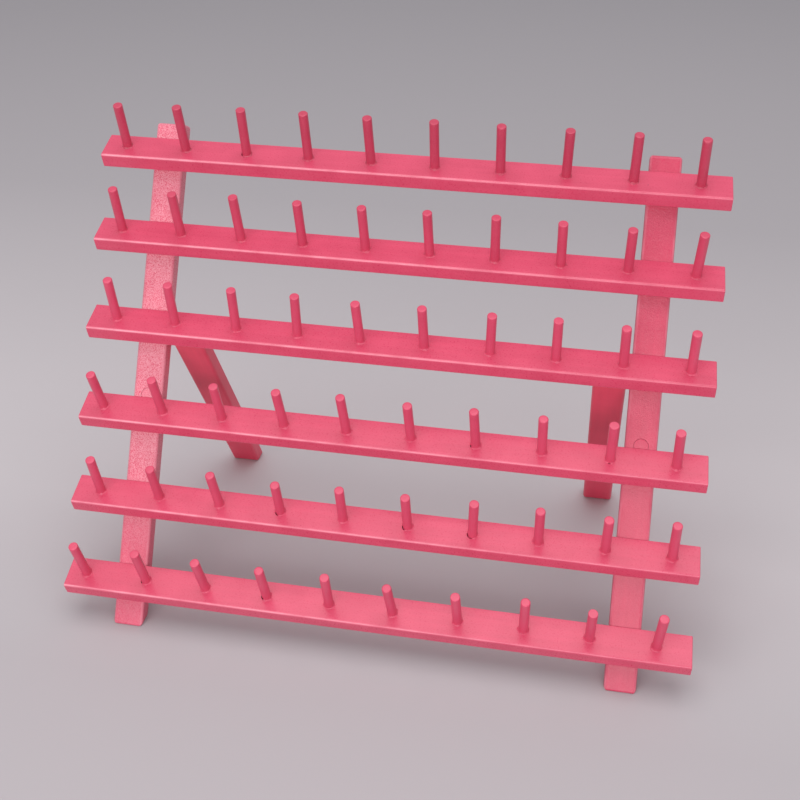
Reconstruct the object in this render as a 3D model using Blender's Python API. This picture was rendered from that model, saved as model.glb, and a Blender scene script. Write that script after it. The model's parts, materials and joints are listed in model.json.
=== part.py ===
"""Folding wooden thread rack: six slats of ten pegs on two leaning uprights.

Two rear legs turn on bolts through the uprights and open until their top ends
bear on the back of the third slat. Metres, +Z up, the slats run along X, the
pegs face -Y, and the origin is on the floor under the middle of the rack.
"""
import math

import bmesh
import bpy
import numpy as np
from mathutils import Matrix, Vector

# Overall stance
LEAN = math.radians(28.7)            # uprights, back from the vertical
LEG_OPENING = math.radians(60.0)     # between an open rear leg and its upright

# Slats, counted from the top
SLAT_LENGTH = 0.400
SLAT_WIDTH = 0.0213
SLAT_THICKNESS = 0.0104
SLAT_EDGE_RADIUS = 0.0015
SLAT_TILTS = [math.radians(a) for a in (45.9, 46.0, 45.8, 48.4, 47.8, 49.2)]
LOWEST_ROW = 0.0411                  # along the upright, floor to the lowest slat
UPRIGHT_TOP_MARGIN = 0.0099          # upright left above the top slat
SLAT_END_LENGTH = 0.0406             # slat beyond the middle of an upright
ROW_LIFT_SHARES = (0.0, 0.021, -0.011, -0.039, -0.027, 0.0)    # of the row pitch

# Pegs
PEGS_PER_ROW = 10
PEG_DIAMETER = 0.0060
PEG_LENGTH = 0.0339                  # out of the slat
PEG_EXTRA_SHARES = (0.038, 0.015, 0.007, -0.008, -0.025, -0.009)  # of the peg length, by row
PEG_END_MARGIN = 0.01658             # slat end to the first peg's centre
PEG_OFFSET = 0.0104                  # peg centre from the slat's rear top edge
PEG_TIP_CHAMFER = 0.0008
PEG_SLIP_SHARES = (-0.046, -0.013, 0.034, -0.059, 0.013, -0.096)  # of the peg pitch, by row
PEG_SIDES = 12

# Uprights and rear legs
UPRIGHT_WIDTH = 0.0197
UPRIGHT_LENGTH = 0.3310
LEG_WIDTH = 0.0206
STRIP_DEPTH = 0.0110
STRIP_EDGE_RADIUS = 0.0020
PIVOT_ROW = 2                        # the slat that an open leg bears on
PIVOT_OFFSET = 0.0152                # bolt below that slat's rear top edge

# Hardware
BOLT_DIAMETER = 0.0040
BOLT_HEAD_DIAMETER = 0.0084
BOLT_HEAD_HEIGHT = 0.0022
BOLT_END_LENGTH = 0.0008             # thread beyond the nut
WASHER_DIAMETER = 0.0090
SPACER_THICKNESS = 0.0015
NUT_WASHER_THICKNESS = 0.0008
NUT_ACROSS_FLATS = 0.0070
NUT_HEIGHT = 0.0032
SCREW_DIAMETER = 0.0030
SCREW_HEAD_DIAMETER = 0.0060
SCREW_HEAD_HEIGHT = 0.0018
SCREW_LENGTH = 0.0175
SCREW_HEAD_DEPTH = 0.0004            # head below the upright's back
SCREW_DROP_SHARE = 0.70              # down the glued face of the slat
PLUG_DIAMETER = 0.0090
PLUG_LENGTH = 0.0040
PLUG_RISE_SHARE = 0.15               # of the plug, its centre above the fourth slat
PLUG_ROW = 3
ROUND_SIDES = 20
SCREW_SIDES = 12
NUT_SIDES = 6

# Fits
CLEARANCE = 0.0003                   # between touching or fitted pieces
OVERRUN_LENGTH = 0.0020              # cutters past the faces they cut

ROWS = len(SLAT_TILTS)
ROW_PITCH = (UPRIGHT_LENGTH - LOWEST_ROW - UPRIGHT_TOP_MARGIN) / (ROWS - 1)
PEG_PITCH = (SLAT_LENGTH - 2 * PEG_END_MARGIN) / (PEGS_PER_ROW - 1)
UPRIGHT_X = SLAT_LENGTH / 2 - SLAT_END_LENGTH
LEG_GAP = SPACER_THICKNESS + 2 * CLEARANCE
LEG_X = UPRIGHT_X - UPRIGHT_WIDTH / 2 - LEG_GAP - LEG_WIDTH / 2
UPRIGHT_DEPTH_CENTRE = CLEARANCE + STRIP_DEPTH / 2
BOLT_HOLE = BOLT_DIAMETER + 2 * CLEARANCE
PIVOT_HEIGHT = (
    LOWEST_ROW + ROW_PITCH * (ROWS - 1 - PIVOT_ROW + ROW_LIFT_SHARES[PIVOT_ROW]) - PIVOT_OFFSET)
SIDES = {"left": -1, "right": 1}
SHARP_ANGLE = math.radians(35)       # edges over this are shaded sharp


def clear_scene():
    for old in list(bpy.data.objects):
        bpy.data.objects.remove(old, do_unlink=True)


def make_collection(name):
    made = bpy.data.collections.new(name)
    bpy.context.scene.collection.children.link(made)
    return made


def make_material(name, colour, roughness, metallic):
    material = bpy.data.materials.new(name)
    material.use_nodes = True
    shader = material.node_tree.nodes["Principled BSDF"]
    shader.inputs["Base Color"].default_value = (*colour, 1.0)
    shader.inputs["Roughness"].default_value = roughness
    shader.inputs["Metallic"].default_value = metallic
    return material


def row_height(row):
    """Distance up the upright from the floor to a slat's rear top edge."""
    return LOWEST_ROW + ROW_PITCH * (ROWS - 1 - row + ROW_LIFT_SHARES[row])


def peg_x(row, number):
    """Place of a peg along its slat; the holes of each row sit a little to one side."""
    return PEG_PITCH * (number - (PEGS_PER_ROW - 1) / 2 + PEG_SLIP_SHARES[row])


def peg_length(row):
    """How far a row's pegs stand out; the upper rows were driven in a little less."""
    return PEG_LENGTH * (1 + PEG_EXTRA_SHARES[row])


def pivot_world_height():
    """Height of the leg bolt over the floor."""
    return PIVOT_HEIGHT * math.cos(LEAN) - UPRIGHT_DEPTH_CENTRE * math.sin(LEAN)


def finish_object(mesh, name, collection, parent, place, turn, material):
    """Makes an object of a bmesh, at a place and a turn about X under its parent."""
    bmesh.ops.recalc_face_normals(mesh, faces=mesh.faces)
    data = bpy.data.meshes.new(name)
    mesh.to_mesh(data)
    mesh.free()
    made = bpy.data.objects.new(name, data)
    made.parent = parent
    made.location = place
    made.rotation_euler = (turn, 0.0, 0.0)
    collection.objects.link(made)
    if material:
        data.materials.append(material)
        data.shade_smooth()
        data.set_sharp_from_angle(angle=SHARP_ANGLE)
    return made


def make_cutter(mesh, name, collection, parent):
    cutter = finish_object(mesh, name, collection, parent, (0, 0, 0), 0.0, None)
    cutter.hide_render = True
    cutter.display_type = "WIRE"
    return cutter


def combine(target, tool, operation):
    modifier = target.modifiers.new(operation.lower(), "BOOLEAN")
    modifier.operation = operation
    modifier.solver = "EXACT"
    modifier.object = tool


def add_round(mesh, diameter_low, diameter_high, low, high, aim, place, sides=ROUND_SIDES):
    """Adds a cylinder or cone from low to high along the aim, through a place."""
    made = bmesh.ops.create_cone(
        mesh, cap_ends=True, segments=sides,
        radius1=diameter_low / 2, radius2=diameter_high / 2, depth=high - low)
    along = Vector(aim).to_track_quat("Z", "Y").to_matrix().to_4x4()
    shift = Matrix.Translation(Vector(place)) @ along @ Matrix.Translation((0, 0, (low + high) / 2))
    bmesh.ops.transform(mesh, matrix=shift, verts=made["verts"])
    return made["verts"]


def end_face(verts, sides, aim):
    """The end of a cylinder or cone that lies furthest along the aim."""
    ends = [face for vert in verts for face in vert.link_faces if len(face.verts) == sides]
    return max(ends, key=lambda face: face.calc_center_median().dot(Vector(aim)))


def grow_end(mesh, face, step):
    """Extrudes an end face by a step and returns the new corners."""
    grown = bmesh.ops.extrude_face_region(mesh, geom=[face])
    moved = [item for item in grown["geom"] if isinstance(item, bmesh.types.BMVert)]
    bmesh.ops.translate(mesh, verts=moved, vec=step)
    bmesh.ops.delete(mesh, geom=[face], context="FACES_ONLY")
    return moved


def bevel_edges(mesh, edges, radius, segments):
    bmesh.ops.bevel(
        mesh, geom=edges, offset=radius, offset_type="OFFSET", segments=segments,
        profile=0.5, affect="EDGES", clamp_overlap=True, material=-1)


def strip_mesh(width, top_of, foot_of):
    """A wooden strip about its own X and Y middle, its ends cut by two functions of depth."""
    mesh = bmesh.new()
    bmesh.ops.create_cube(mesh, size=1.0)
    for vert in mesh.verts:
        end_of = top_of if vert.co.z > 0 else foot_of
        depth = vert.co.y * STRIP_DEPTH
        vert.co = (vert.co.x * width, depth, end_of(depth))
    bevel_edges(mesh, list(mesh.edges), STRIP_EDGE_RADIUS, 2)
    return mesh


def upright_foot(depth):
    """The foot lies flat on the floor when the upright leans."""
    return (UPRIGHT_DEPTH_CENTRE + depth) * math.tan(LEAN)


def make_upright(side, parts, cutters, frame, wood):
    x = SIDES[side] * UPRIGHT_X
    upright = finish_object(
        strip_mesh(UPRIGHT_WIDTH, lambda depth: UPRIGHT_LENGTH, upright_foot),
        f"upright_{side}", parts, frame, (x, UPRIGHT_DEPTH_CENTRE, 0), 0.0, wood)
    holes = bmesh.new()
    for row in range(ROWS):
        add_screw(holes, x, row, CLEARANCE, OVERRUN_LENGTH)
    across = UPRIGHT_WIDTH / 2 + OVERRUN_LENGTH
    add_round(holes, BOLT_HOLE, BOLT_HOLE, -across, across, (1, 0, 0),
              (x, UPRIGHT_DEPTH_CENTRE, PIVOT_HEIGHT))
    plug_hole = PLUG_DIAMETER + 2 * CLEARANCE
    add_round(holes, plug_hole, plug_hole, -OVERRUN_LENGTH, PLUG_LENGTH + CLEARANCE, (0, 1, 0),
              (x, CLEARANCE, plug_height()))
    combine(upright, make_cutter(holes, f"upright_{side}_holes", cutters, frame), "DIFFERENCE")


def plug_height():
    return row_height(PLUG_ROW) + PLUG_DIAMETER * PLUG_RISE_SHARE


def make_plug(side, parts, frame, wood):
    """A round wooden plug, flush in the front of the upright."""
    mesh = bmesh.new()
    add_round(mesh, PLUG_DIAMETER, PLUG_DIAMETER, 0, PLUG_LENGTH, (0, 1, 0), (0, 0, 0))
    place = (SIDES[side] * UPRIGHT_X, CLEARANCE, plug_height())
    finish_object(mesh, f"front_plug_{side}", parts, frame, place, 0.0, wood)


def screw_height(row):
    glued = SLAT_THICKNESS / math.cos(SLAT_TILTS[row])
    return row_height(row) - glued * SCREW_DROP_SHARE


def add_screw(mesh, x, row, gap, overrun):
    """Adds one countersunk screw from the upright's back, or with a gap its hole."""
    back = CLEARANCE + STRIP_DEPTH
    place = (x, back - SCREW_HEAD_DEPTH, screw_height(row))
    shank = SCREW_DIAMETER + 2 * gap
    head = SCREW_HEAD_DIAMETER + 2 * gap
    neck = SCREW_HEAD_HEIGHT + gap
    cone = add_round(mesh, head, shank, 0, neck, (0, -1, 0), place, SCREW_SIDES)
    near = end_face(cone, SCREW_SIDES, (0, 1, 0))
    far = end_face(cone, SCREW_SIDES, (0, -1, 0))
    grow_end(mesh, far, (0, neck - SCREW_LENGTH - gap, 0))
    if overrun:
        grow_end(mesh, near, (0, overrun, 0))


def make_screw(side, row, parts, frame, steel):
    """The screw that holds one slat to one upright, its origin at the drive end."""
    mesh = bmesh.new()
    add_screw(mesh, SIDES[side] * UPRIGHT_X, row, 0.0, 0.0)
    finish_object(mesh, f"slat_screw_{side}_{row + 1}", parts, frame, (0, 0, 0), 0.0, steel)


def slat_mesh(tilt):
    """A slat with its rear face ripped to lie flat on the front of the uprights."""
    mesh = bmesh.new()
    bmesh.ops.create_cube(mesh, size=1.0)
    for vert in mesh.verts:
        rear = 0.0 if vert.co.z > 0 else -SLAT_THICKNESS * math.tan(tilt)
        vert.co = (
            vert.co.x * SLAT_LENGTH,
            rear if vert.co.y > 0 else -SLAT_WIDTH,
            0.0 if vert.co.z > 0 else -SLAT_THICKNESS)
    middle = -SLAT_WIDTH / 2
    front = [
        edge for edge in mesh.edges
        if not all(vert.co.y > middle for vert in edge.verts)]
    bevel_edges(mesh, front, SLAT_EDGE_RADIUS, 3)
    return mesh


def pegs_mesh(row):
    """Ten pegs in a slat's own frame, rooted at half its thickness."""
    mesh = bmesh.new()
    for number in range(PEGS_PER_ROW):
        place = (peg_x(row, number), -PEG_OFFSET, 0)
        verts = add_round(mesh, PEG_DIAMETER, PEG_DIAMETER, -SLAT_THICKNESS / 2,
                          peg_length(row) - PEG_TIP_CHAMFER, (0, 0, 1), place, PEG_SIDES)
        rim = grow_end(mesh, end_face(verts, PEG_SIDES, (0, 0, 1)), (0, 0, PEG_TIP_CHAMFER))
        shrink = 1 - 2 * PEG_TIP_CHAMFER / PEG_DIAMETER
        bmesh.ops.scale(mesh, verts=rim, vec=(shrink, shrink, 1),
                        space=Matrix.Translation((-place[0], -place[1], 0)))
    return mesh


def make_slat(row, parts, cutters, frame, wood):
    """A slat with its ten pegs glued in, and a pilot hole for each fixing screw."""
    name = f"peg_slat_{row + 1}"
    place = (0, 0, row_height(row))
    slat = finish_object(slat_mesh(SLAT_TILTS[row]), name, parts, frame, place, SLAT_TILTS[row], wood)
    combine(slat, make_cutter(pegs_mesh(row), f"{name}_pegs", cutters, slat), "UNION")
    pilots = bmesh.new()
    for side in SIDES.values():
        add_screw(pilots, side * UPRIGHT_X, row, CLEARANCE, 0.0)
    combine(slat, make_cutter(pilots, f"{name}_pilots", cutters, frame), "DIFFERENCE")


def leg_top(depth):
    """The top end lies flat along the third slat's back when the leg is open."""
    reach = UPRIGHT_DEPTH_CENTRE - CLEARANCE + depth * math.cos(LEG_OPENING)
    return reach / math.sin(LEG_OPENING)


def leg_foot(depth):
    """The foot lies flat on the floor when the leg is open."""
    slope = LEG_OPENING - LEAN
    return -(pivot_world_height() + depth * math.sin(slope)) / math.cos(slope)


def make_leg(side, parts, cutters, frame, wood):
    place = (SIDES[side] * LEG_X, UPRIGHT_DEPTH_CENTRE, PIVOT_HEIGHT)
    leg = finish_object(
        strip_mesh(LEG_WIDTH, leg_top, leg_foot), f"leg_{side}", parts, frame,
        place, LEG_OPENING, wood)
    across = LEG_WIDTH / 2 + OVERRUN_LENGTH
    hole = bmesh.new()
    add_round(hole, BOLT_HOLE, BOLT_HOLE, -across, across, (1, 0, 0), place)
    combine(leg, make_cutter(hole, f"leg_{side}_hole", cutters, frame), "DIFFERENCE")


def make_ring(name, parts, cutters, parent, place, inward, outer_sides, outer, start, thickness, steel):
    """A washer or nut on the bolt, from start towards the rack's middle; returns where it ends."""
    body = bmesh.new()
    add_round(body, outer, outer, start, start + thickness, (inward, 0, 0), (0, 0, 0), outer_sides)
    ring = finish_object(body, name, parts, parent, place, 0.0, steel)
    bore = bmesh.new()
    add_round(bore, BOLT_HOLE, BOLT_HOLE, start - OVERRUN_LENGTH, start + thickness + OVERRUN_LENGTH,
              (inward, 0, 0), place)
    combine(ring, make_cutter(bore, f"{name}_bore", cutters, parent), "DIFFERENCE")
    return start + thickness


def make_pivot(side, parts, cutters, frame, steel):
    """The bolt a leg turns on, with its spacer, nut washer and nut."""
    inward = -SIDES[side]
    place = (SIDES[side] * UPRIGHT_X, UPRIGHT_DEPTH_CENTRE, PIVOT_HEIGHT)
    outer_face = -UPRIGHT_WIDTH / 2 - CLEARANCE
    spacer_start = UPRIGHT_WIDTH / 2 + CLEARANCE
    make_ring(f"leg_spacer_{side}", parts, cutters, frame, place, inward,
              ROUND_SIDES, WASHER_DIAMETER, spacer_start, SPACER_THICKNESS, steel)
    washer_start = UPRIGHT_WIDTH / 2 + LEG_GAP + LEG_WIDTH + CLEARANCE
    washer_end = make_ring(f"nut_washer_{side}", parts, cutters, frame, place, inward,
                           ROUND_SIDES, WASHER_DIAMETER, washer_start, NUT_WASHER_THICKNESS, steel)
    nut_across_corners = NUT_ACROSS_FLATS / math.cos(math.pi / NUT_SIDES)
    nut_start = washer_end + CLEARANCE
    nut_end = make_ring(f"pivot_nut_{side}", parts, cutters, frame, place, inward,
                        NUT_SIDES, nut_across_corners, nut_start, NUT_HEIGHT, steel)
    bolt = bmesh.new()
    verts = add_round(bolt, BOLT_HEAD_DIAMETER, BOLT_HEAD_DIAMETER,
                      outer_face - BOLT_HEAD_HEIGHT, outer_face, (inward, 0, 0), (0, 0, 0))
    inner = end_face(verts, ROUND_SIDES, (inward, 0, 0))
    outer = end_face(verts, ROUND_SIDES, (-inward, 0, 0))
    step = (BOLT_HEAD_DIAMETER - BOLT_DIAMETER) / 2
    bmesh.ops.inset_region(bolt, faces=[inner], thickness=step)
    grow_end(bolt, inner, ((nut_end + BOLT_END_LENGTH - outer_face) * inward, 0, 0))
    bevel_edges(bolt, list(outer.edges), BOLT_HEAD_HEIGHT / 2, 2)
    finish_object(bolt, f"pivot_bolt_{side}", parts, frame, place, 0.0, steel)


def centre_on_origin(stand, parts):
    """Moves the rack so that the floor point under its middle is the origin."""
    bpy.context.view_layer.update()
    graph = bpy.context.evaluated_depsgraph_get()
    points = []
    for part in parts.objects:
        data = part.evaluated_get(graph).to_mesh()
        points += [part.matrix_world @ vert.co for vert in data.vertices]
    box = np.array([tuple(point) for point in points])
    low, high = box.min(axis=0), box.max(axis=0)
    stand.location = (-(low[0] + high[0]) / 2, -(low[1] + high[1]) / 2, 0)
    bpy.context.view_layer.update()


def main():
    clear_scene()
    parts = make_collection("thread_rack")
    cutters = make_collection("cutters")
    wood = make_material("painted_wood", (0.78, 0.11, 0.21), 0.45, 0.0)
    steel = make_material("zinc_steel", (0.60, 0.60, 0.62), 0.35, 1.0)
    stand = bpy.data.objects.new("stand", None)
    bpy.context.scene.collection.objects.link(stand)
    frame = bpy.data.objects.new("leaning_frame", None)
    bpy.context.scene.collection.objects.link(frame)
    frame.parent = stand
    frame.rotation_euler = (-LEAN, 0, 0)
    for row in range(ROWS):
        make_slat(row, parts, cutters, frame, wood)
    for side in SIDES:
        make_upright(side, parts, cutters, frame, wood)
        make_plug(side, parts, frame, wood)
        for row in range(ROWS):
            make_screw(side, row, parts, frame, steel)
        make_leg(side, parts, cutters, frame, wood)
        make_pivot(side, parts, cutters, frame, steel)
    centre_on_origin(stand, parts)


main()
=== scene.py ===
"""Visual model of a folding wooden thread rack, sprayed pink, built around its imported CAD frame.

Six slats of ten pegs lie across two leaning uprights. Two rear legs turn on bolts through
the uprights. Metres, +Z up, the slats run along X and the pegs face -Y. Each piece is shaped
in its own frame and then moved to its place in its mesh, so every object sits at the origin.
"""
import json
import math

import bmesh
import bpy
from bpy.props import (
    FloatProperty, FloatVectorProperty, IntProperty, PointerProperty)
from mathutils import Euler, Matrix, Vector


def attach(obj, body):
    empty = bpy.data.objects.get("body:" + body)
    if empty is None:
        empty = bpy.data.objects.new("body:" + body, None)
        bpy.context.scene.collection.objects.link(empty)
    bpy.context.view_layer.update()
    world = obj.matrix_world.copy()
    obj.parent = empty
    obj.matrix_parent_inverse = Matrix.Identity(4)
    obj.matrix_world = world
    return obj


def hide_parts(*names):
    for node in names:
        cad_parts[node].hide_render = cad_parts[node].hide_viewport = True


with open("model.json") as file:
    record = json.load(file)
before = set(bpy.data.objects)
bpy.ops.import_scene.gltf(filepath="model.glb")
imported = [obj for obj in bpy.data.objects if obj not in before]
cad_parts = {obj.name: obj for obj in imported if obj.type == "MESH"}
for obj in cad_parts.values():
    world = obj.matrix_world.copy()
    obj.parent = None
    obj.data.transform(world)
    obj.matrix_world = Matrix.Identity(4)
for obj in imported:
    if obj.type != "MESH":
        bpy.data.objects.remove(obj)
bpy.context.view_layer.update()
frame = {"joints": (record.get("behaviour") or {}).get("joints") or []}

bl_info = {
    "name": "Folding thread rack",
    "version": (1, 0, 0),
    "blender": (4, 5, 0),
    "location": "View3D > Sidebar > Thread Rack",
    "description": "Builds a painted wooden rack for sixty thread spools, with its stage",
    "category": "Object",
}

BODY = "rack_frame"
SIDES = {"left": -1, "right": 1}
ROWS = 6

# Faces round a piece, and across its rounded edges.
PEG_STEPS, BOLT_STEPS, HOLE_STEPS = 32, 32, 32
WASHER_STEPS, PLUG_STEPS, NUT_STEPS, SCREW_STEPS = 40, 40, 48, 24
SLAT_EDGE_STEPS, END_EDGE_STEPS, STRIP_EDGE_STEPS, TIP_STEPS = 6, 3, 4, 6
# Edges turned by more than this stay sharp, and are eased on a slat.
SHARP_ANGLE = math.radians(32)
# Points nearer than this merge; a cutter starts this far outside; a millimetre.
MERGE, OVERCUT, MM = 1e-7, 0.004, 0.001
# Painted highlight on rounded edges: its strength on a slat, how much less from a slat's left end
# to its right, and its strength on an upright.
EDGE_HIGHLIGHT, EDGE_HIGHLIGHT_FADE, STRIP_EDGE_HIGHLIGHT = 0.65, 0.70, 0.6
# A cross recess: its foot's length and its arms' width, of the length of an arm.
RECESS_TAPER, RECESS_WIDTH = 0.35, 0.2

# The pegs were set by hand, so each stands a little off. By row from the top and by peg from
# the left: lean to the right in degrees, shift to the right and rise of the tip in millimetres.
PEG_LEANS = (
    (1.4, 0.1, 1.6, 0.7, 0.0, 1.4, 1.1, 2.2, 1.3, -0.3),
    (1.7, 0.4, -0.5, 0.4, 0.0, -0.2, 1.7, 0.6, 1.0, 2.2),
    (2.1, 2.4, 2.9, 3.3, -0.8, 0.0, 2.6, 1.0, -0.6, 0.0),
    (-1.1, -0.5, -0.1, -1.4, -1.3, -0.6, -0.8, 0.5, 0.7, -1.1),
    (1.6, 0.8, -1.2, 1.1, 1.2, 0.6, 2.9, 1.2, 0.8, -0.3),
    (-0.6, -0.4, -1.6, -0.3, 1.0, -2.4, -0.6, 1.6, 1.2, 2.5))
PEG_SHIFTS = (
    (0.3, -0.6, -0.4, -0.4, -0.4, -0.4, 0.1, -0.1, 0.1, -0.4),
    (0.4, -0.3, -0.6, -0.6, -0.4, -0.2, 0.0, 0.0, 0.1, 0.0),
    (0.1, -0.9, -0.5, -0.7, -0.7, -0.4, 0.2, 0.1, 0.4, 0.0),
    (-0.1, -0.5, -1.0, -0.7, -0.6, 0.0, 0.1, 0.3, 1.1, 0.1),
    (0.3, -0.4, -0.6, -0.8, -0.8, -0.1, 0.0, 0.0, 0.0, -0.7),
    (0.0, 0.0, -0.6, -0.6, -0.4, -0.5, -0.1, 0.1, -0.4, -0.9))
PEG_RISES = (
    (-3.3, -1.7, -0.3, 0.0, -0.4, 0.0, 0.0, -0.3, -0.1, -0.5),
    (0.5, -0.3, 1.2, 0.3, 0.3, 0.3, 0.6, -0.4, -1.4, -0.8),
    (1.1, 0.9, 1.4, 0.9, -1.3, 0.1, -1.1, -0.1, -1.7, -0.7),
    (-1.5, -0.8, -1.1, -0.3, 1.4, -0.3, 0.9, 0.6, 1.2, 0.3),
    (1.5, -1.8, -0.6, -3.5, -0.8, -0.8, 1.2, 1.5, 0.4, 2.8),
    (0.3, 0.3, -1.3, -0.8, 0.8, -2.4, -2.4, 2.1, -1.3, 3.0))
# Pegs whose paint ring has a gap: row, peg, its middle and half width in degrees.
RING_GAPS = (
    (0, 2, 205, 14), (3, 6, 205, 16), (3, 8, 262, 14), (4, 3, 225, 26), (4, 5, 212, 34),
    (4, 6, 228, 50), (5, 1, 205, 24), (5, 3, 208, 32))
# Outline of a paint ring, in ring widths: out from the peg, and up from the slat.
RING_OUTLINE = (
    (0.0, -0.10), (1.0, -0.04), (0.92, 0.08), (0.58, 0.20), (0.30, 0.40), (0.10, 0.72), (0.0, 1.15))
# Waves round a paint ring: how many, their height, and the seed of their start.
RING_WAVES = ((2, 0.30, 6), (5, 0.25, 7))
# How a peg's diameter wanders: share of its length, and share of its swell.
PEG_WANDER = ((0.15, 0.3), (0.30, -0.6), (0.45, 0.2), (0.60, -0.4), (0.75, 0.7), (0.88, 1.0))

# The paint's noises: scale, detail and stretch along the grain.
FIBRES, GRAIN = (900, 4, (1, 1, 0.035)), (260, 3, (1, 1, 0.06))
CLOUDS, WAVES, PEEL_DETAIL = (55, 2), (420, 2), 2
# The paint's pits: their scale, how rare they are, and the reach of the largest.
PIT_SCALE, PIT_RARE, PIT_REACH = 60.0, 0.93, 0.04

# The stage: name, place, target, width, height and power of each lamp.
LAMPS = (
    ("key", (-0.64, -1.44, 0.82), (0, 0, 0.12), 1.0, 0.22, 6.4),
    ("top", (0.05, -0.2, 2.4), (0, 0, 0.1), 2.2, 1.8, 29),
    ("front", (0.30, -1.5, 0.42), (0, 0, 0.08), 1.2, 0.6, 9))
WORLD_COLOUR, WORLD_STRENGTH = (0.80, 0.79, 0.82, 1), 0.67
FLOOR_HALF = 6.0
# Where along Y the floor darkens to its far colour, a painted falloff of the light, and where it
# turns to a painted pool of light under the rack and back.
FLOOR_FALLOFF, FLOOR_LIGHT_RISE, FLOOR_LIGHT_FALL = (0.0, 1.8), (-0.14, 0.03), (0.16, 0.60)
CAMERA_PLACE, CAMERA_TURN = (0.1283, -0.6568, 0.5646), (61.77, 0.09, 10.66)
CAMERA_LENS, CAMERA_SENSOR, CAMERA_SHIFT, CAMERA_NEAR = 54.63, 36, -0.125, 0.01


class RackSizes(bpy.types.PropertyGroup):
    """Sizes of the wooden pieces."""
    lean: FloatProperty(
        name="Lean", description="Lean of the uprights, back from the vertical",
        default=math.radians(28.7), subtype="ANGLE")
    opening: FloatProperty(
        name="Leg opening", description="Angle between an open leg and its upright",
        default=math.radians(60), subtype="ANGLE")
    slat_length: FloatProperty(
        name="Slat length", description="Length of each slat", default=0.400, unit="LENGTH")
    slat_width: FloatProperty(
        name="Slat width", description="From the uprights to a slat's front edge",
        default=0.0213, unit="LENGTH")
    slat_thickness: FloatProperty(
        name="Slat thickness", description="Thickness of each slat", default=0.0104, unit="LENGTH")
    slat_edge: FloatProperty(
        name="Slat edge radius", description="Rounding of a slat's front edges",
        default=0.0015, unit="LENGTH")
    end_edge: FloatProperty(
        name="End edge radius", description="Rounding of a slat's ends and rear edges",
        default=0.0005, unit="LENGTH")
    tilts: FloatVectorProperty(
        name="Slat tilts", description="Tilt of each slat against the uprights, top row first",
        size=6,
        default=[math.radians(a) for a in (45.9, 46.0, 45.8, 48.4, 47.8, 49.2)])
    lowest_row: FloatProperty(
        name="Lowest row", description="Along the upright, from the floor to the lowest slat",
        default=0.0411, unit="LENGTH")
    top_margin: FloatProperty(
        name="Top margin", description="Upright left above the top slat",
        default=0.0099, unit="LENGTH")
    lift_shares: FloatVectorProperty(
        name="Row lifts", description="How far each slat sits off its even place, of the row pitch",
        size=6, default=(0.0, 0.021, -0.011, -0.039, -0.027, 0.0))
    upright_x: FloatProperty(
        name="Upright place", description="Middle of the rack to the middle of an upright",
        default=0.1594, unit="LENGTH")
    upright_width: FloatProperty(
        name="Upright width", description="Width of each upright", default=0.0197, unit="LENGTH")
    upright_length: FloatProperty(
        name="Upright length", description="Length of each upright", default=0.3310, unit="LENGTH")
    leg_width: FloatProperty(
        name="Leg width", description="Width of each rear leg", default=0.0206, unit="LENGTH")
    strip_depth: FloatProperty(
        name="Strip depth", description="Depth of the uprights and legs",
        default=0.0110, unit="LENGTH")
    strip_edge: FloatProperty(
        name="Strip edge radius", description="Rounding of the uprights' and legs' edges",
        default=0.0020, unit="LENGTH")
    clearance: FloatProperty(
        name="Clearance", description="Gap between pieces that touch or turn",
        default=0.0003, unit="LENGTH")


class PegSizes(bpy.types.PropertyGroup):
    """Sizes of the pegs and the front plugs."""
    count: IntProperty(name="Pegs per row", description="Pegs in one slat", default=10)
    diameter: FloatProperty(
        name="Peg diameter", description="Diameter of the dowel", default=0.0060, unit="LENGTH")
    length: FloatProperty(
        name="Peg length", description="Peg standing out of its slat", default=0.0339,
        unit="LENGTH")
    extra_shares: FloatVectorProperty(
        name="Peg row extras", description="How much more each row stands out, of the peg length",
        size=6, default=(0.038, 0.015, 0.007, -0.008, -0.025, -0.009))
    end_margin: FloatProperty(
        name="Peg end margin", description="Slat end to the first peg's centre",
        default=0.01658, unit="LENGTH")
    offset: FloatProperty(
        name="Peg offset", description="Peg centre from the slat's rear top edge",
        default=0.0104, unit="LENGTH")
    slip_shares: FloatVectorProperty(
        name="Peg row slips", description="How far each row of pegs sits to one side, of the pitch",
        size=6, default=(-0.046, -0.013, 0.034, -0.059, 0.013, -0.096))
    depth_share: FloatProperty(
        name="Depth share", description="Share of a tip's rise that comes from the hole's depth",
        default=0.6)
    tip_radius: FloatProperty(
        name="Tip radius", description="Rounding of a peg's tip", default=0.0006, unit="LENGTH")
    paint_ring: FloatProperty(
        name="Paint ring", description="Width of the ring of paint round a peg's foot",
        default=0.0008, unit="LENGTH")
    ring_gap: FloatProperty(
        name="Ring gap", description="Width of a gap between a peg and its hole",
        default=0.0005, unit="LENGTH")
    plug_diameter: FloatProperty(
        name="Plug diameter", description="Diameter of a front plug", default=0.0090, unit="LENGTH")
    plug_length: FloatProperty(
        name="Plug length", description="Length of a front plug", default=0.0040, unit="LENGTH")
    plug_rise: FloatProperty(
        name="Plug rise", description="Plug centre over the fourth slat, of its diameter",
        default=0.15)


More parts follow.
